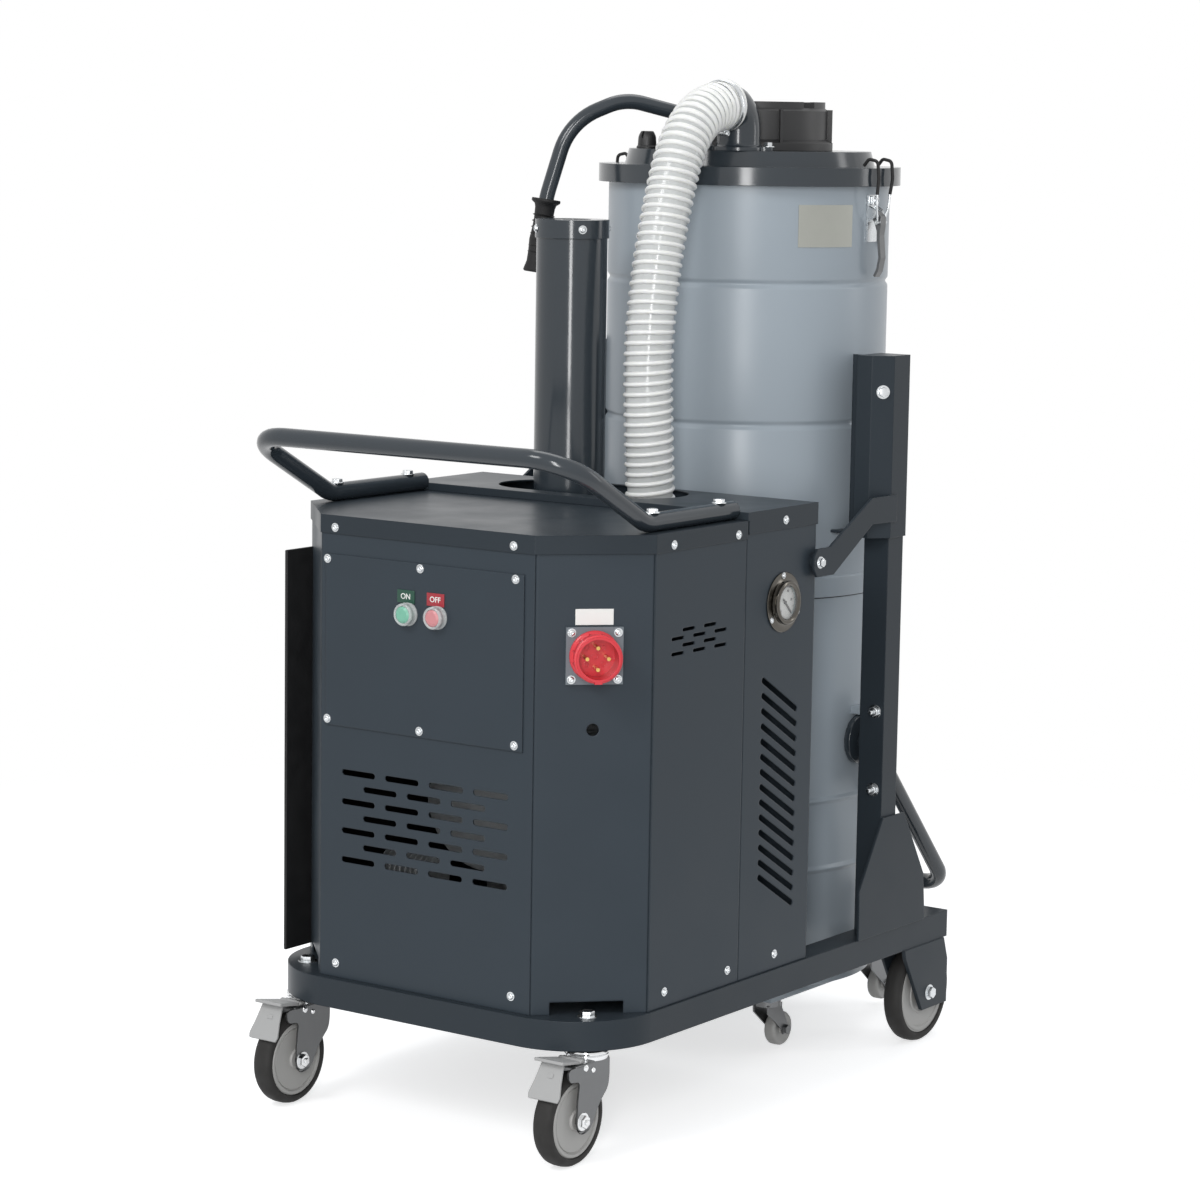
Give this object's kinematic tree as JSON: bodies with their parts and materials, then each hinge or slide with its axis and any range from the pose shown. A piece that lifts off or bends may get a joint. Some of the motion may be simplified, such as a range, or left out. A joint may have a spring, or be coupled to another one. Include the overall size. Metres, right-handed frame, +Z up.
{
  "type": "industrial vacuum cleaner",
  "caption": "Wheeled upright industrial vacuum cleaner with a blower cabinet, an external filter drum, and a lever-lifted dust bin on castors.",
  "frame": {"origin": "centre of the footprint, on the floor under the wheels", "axes": "+Z up; +X to the right of a person who faces the control side, which looks towards -Y; +Y towards the filter drum"},
  "size_m": [0.612, 1.0779, 1.4179],
  "materials": {
    "cabinet_paint": "fine powder coat, satin",
    "frame_paint": "glossy enamel",
    "drum_paint": "smooth enamel, semi-gloss",
    "zinc": "zinc plated",
    "pressed_steel": "zinc plated pressing",
    "chrome": "polished",
    "black_plastic": "moulded, matt",
    "black_rubber": "moulded rubber",
    "seal_rubber": "sponge rubber",
    "wheel_rubber": "solid rubber tyre on a grey plastic centre",
    "hose_plastic": "translucent white ribbed plastic",
    "red_plastic": "moulded, glossy",
    "green_plastic": "moulded, glossy",
    "grey_plastic": "moulded, matt",
    "cast_aluminium": "die cast, sand finish",
    "filter_felt": "pleated polyester felt",
    "clear_glass": "flat clear",
    "brass": "machined contact pins",
    "clear_silicone": "translucent silicone"
  },
  "bodies": {
    "root": {"base_frame": "frame_paint", "front_panel": "cabinet_paint", "corner_panel_right": "cabinet_paint", "corner_panel_left": "cabinet_paint", "side_panel_right": "cabinet_paint", "side_panel_left": "cabinet_paint", "rear_side_panel_right": "cabinet_paint", "rear_side_panel_left": "cabinet_paint", "back_panel": "cabinet_paint", "front_lid": "frame_paint", "rear_lid": "frame_paint", "control_cover": "cabinet_paint", "button_bezels": "clear_silicone", "socket_plate": "grey_plastic", "socket_shroud": "red_plastic", "socket_pins": "brass", "gauge_case": "chrome", "gauge_lens": "clear_glass", "handle_bar": "frame_paint", "silencer": "frame_paint", "blower_housing": "cast_aluminium", "blower_motor": "cast_aluminium", "suction_hose": "hose_plastic", "lid_elbow": "frame_paint", "drum_posts": "frame_paint", "post_plates": "frame_paint", "filter_drum": "drum_paint", "drum_lid": "frame_paint", "seals": "seal_rubber", "filter_cartridge": "filter_felt", "relief_valve": "black_plastic", "bolts_and_clamps": "zinc", "latch_plate_right": "pressed_steel", "latch_plate_left": "pressed_steel"},
    "on_button": {"on_button": "green_plastic"},
    "off_button": {"off_button": "red_plastic"},
    "gauge_needle": {"gauge_needle": "black_plastic"},
    "blower_impeller": {"blower_impeller": "cast_aluminium"},
    "shaker": {"shaker_cap": "black_plastic", "shaker_lever": "frame_paint"},
    "lift_lever": {"lift_lever": "frame_paint"},
    "dust_bin": {"dust_bin": "drum_paint"},
    "latch_lever_right": {"latch_lever_right": "zinc"},
    "latch_bail_right": {"latch_bail_right": "black_rubber"},
    "castor_fork_right": {"castor_fork_right": "pressed_steel"},
    "castor_wheel_right": {"castor_wheel_right": "wheel_rubber"},
    "brake_pedal_right": {"brake_pedal_right": "grey_plastic"},
    "rear_wheel_right": {"rear_wheel_right": "wheel_rubber"},
    "bin_fork_right": {"bin_fork_right": "pressed_steel"},
    "bin_front_wheel_right": {"bin_front_wheel_right": "wheel_rubber"},
    "bin_rear_wheel_right": {"bin_rear_wheel_right": "wheel_rubber"},
    "latch_lever_left": {"latch_lever_left": "zinc"},
    "latch_bail_left": {"latch_bail_left": "black_rubber"},
    "castor_fork_left": {"castor_fork_left": "pressed_steel"},
    "castor_wheel_left": {"castor_wheel_left": "wheel_rubber"},
    "brake_pedal_left": {"brake_pedal_left": "grey_plastic"},
    "rear_wheel_left": {"rear_wheel_left": "wheel_rubber"},
    "bin_fork_left": {"bin_fork_left": "pressed_steel"},
    "bin_front_wheel_left": {"bin_front_wheel_left": "wheel_rubber"},
    "bin_rear_wheel_left": {"bin_rear_wheel_left": "wheel_rubber"}
  },
  "joints": [
    {"name": "on_press", "type": "slide", "parent": "root", "child": "on_button", "axis": [0, 1, 0], "range_m": [0, 0.003], "stiffness_N_per_m": 500, "springref_m": -0.002},
    {"name": "off_press", "type": "slide", "parent": "root", "child": "off_button", "axis": [0, 1, 0], "range_m": [0, 0.003], "stiffness_N_per_m": 500, "springref_m": -0.002},
    {"name": "needle_turn", "type": "hinge", "parent": "root", "child": "gauge_needle", "pos_m": [0.289, -0.0565, 0.703], "axis": [1, 0, 0], "range_deg": [0, 270]},
    {"name": "impeller_spin", "type": "hinge", "parent": "root", "child": "blower_impeller", "pos_m": [-0.007, -0.0515, 0.432], "axis": [0, 1, 0], "continuous": true},
    {"name": "shaker_swing", "type": "hinge", "parent": "root", "child": "shaker", "pos_m": [0, 0.2915, 1.32], "axis": [0, 0, 1], "range_deg": [-12, 12]},
    {"name": "lift_lever_raise", "type": "hinge", "parent": "root", "child": "lift_lever", "pos_m": [0, 0.2805, 0.455], "axis": [1, 0, 0], "range_deg": [0, 95]},
    {"name": "bin_lower", "type": "slide", "parent": "root", "child": "dust_bin", "axis": [0, 0, -1], "range_m": [0, 0.009]},
    {"name": "latch_open_right", "type": "hinge", "parent": "root", "child": "latch_lever_right", "pos_m": [0.21463, 0.28692, 1.222], "axis": [0.0262, -0.9997, 0], "range_deg": [0, 120]},
    {"name": "bail_lift_right", "type": "hinge", "parent": "latch_lever_right", "child": "latch_bail_right", "pos_m": [0.22162, 0.2871, 1.21], "axis": [0.0262, -0.9997, 0], "range_deg": [-120, 0]},
    {"name": "castor_swivel_right", "type": "hinge", "parent": "root", "child": "castor_fork_right", "pos_m": [0.2379, -0.4287, 0.145], "axis": [0, 0, 1], "continuous": true},
    {"name": "castor_roll_right", "type": "hinge", "parent": "castor_fork_right", "child": "castor_wheel_right", "pos_m": [0.2379, -0.4677, 0.0625], "axis": [1, 0, 0], "continuous": true},
    {"name": "brake_press_right", "type": "hinge", "parent": "castor_fork_right", "child": "brake_pedal_right", "pos_m": [0.2379, -0.4627, 0.1367], "axis": [1, 0, 0], "range_deg": [0, 12]},
    {"name": "rear_roll_right", "type": "hinge", "parent": "root", "child": "rear_wheel_right", "pos_m": [0.27115, 0.365, 0.075], "axis": [1, 0, 0], "continuous": true},
    {"name": "bin_swivel_right", "type": "hinge", "parent": "dust_bin", "child": "bin_fork_right", "pos_m": [0.146, 0.1525, 0.08], "axis": [0, 0, 1], "continuous": true},
    {"name": "bin_front_roll_right", "type": "hinge", "parent": "bin_fork_right", "child": "bin_front_wheel_right", "pos_m": [0.146, 0.1825, 0.0343], "axis": [1, 0, 0], "continuous": true},
    {"name": "bin_rear_roll_right", "type": "hinge", "parent": "dust_bin", "child": "bin_rear_wheel_right", "pos_m": [0.123, 0.5105, 0.0343], "axis": [1, 0, 0], "continuous": true},
    {"name": "latch_open_left", "type": "hinge", "parent": "root", "child": "latch_lever_left", "pos_m": [-0.21463, 0.28692, 1.222], "axis": [0.0262, 0.9997, 0], "range_deg": [0, 120]},
    {"name": "bail_lift_left", "type": "hinge", "parent": "latch_lever_left", "child": "latch_bail_left", "pos_m": [-0.22162, 0.2871, 1.21], "axis": [0.0262, 0.9997, 0], "range_deg": [-120, 0]},
    {"name": "castor_swivel_left", "type": "hinge", "parent": "root", "child": "castor_fork_left", "pos_m": [-0.2379, -0.4287, 0.145], "axis": [0, 0, 1], "continuous": true},
    {"name": "castor_roll_left", "type": "hinge", "parent": "castor_fork_left", "child": "castor_wheel_left", "pos_m": [-0.2379, -0.4677, 0.0625], "axis": [1, 0, 0], "continuous": true},
    {"name": "brake_press_left", "type": "hinge", "parent": "castor_fork_left", "child": "brake_pedal_left", "pos_m": [-0.2379, -0.4627, 0.1367], "axis": [1, 0, 0], "range_deg": [0, 12]},
    {"name": "rear_roll_left", "type": "hinge", "parent": "root", "child": "rear_wheel_left", "pos_m": [-0.27115, 0.365, 0.075], "axis": [1, 0, 0], "continuous": true},
    {"name": "bin_swivel_left", "type": "hinge", "parent": "dust_bin", "child": "bin_fork_left", "pos_m": [-0.146, 0.1525, 0.08], "axis": [0, 0, 1], "continuous": true},
    {"name": "bin_front_roll_left", "type": "hinge", "parent": "bin_fork_left", "child": "bin_front_wheel_left", "pos_m": [-0.146, 0.1825, 0.0343], "axis": [1, 0, 0], "continuous": true},
    {"name": "bin_rear_roll_left", "type": "hinge", "parent": "dust_bin", "child": "bin_rear_wheel_left", "pos_m": [-0.123, 0.5105, 0.0343], "axis": [1, 0, 0], "continuous": true}
  ],
  "couplings": [
    {"joint": "bin_lower", "follows": "lift_lever_raise", "m_per_rad": 0.00542},
    {"joint": "bail_lift_right", "follows": "latch_open_right", "ratio": -1},
    {"joint": "bail_lift_left", "follows": "latch_open_left", "ratio": -1}
  ]
}
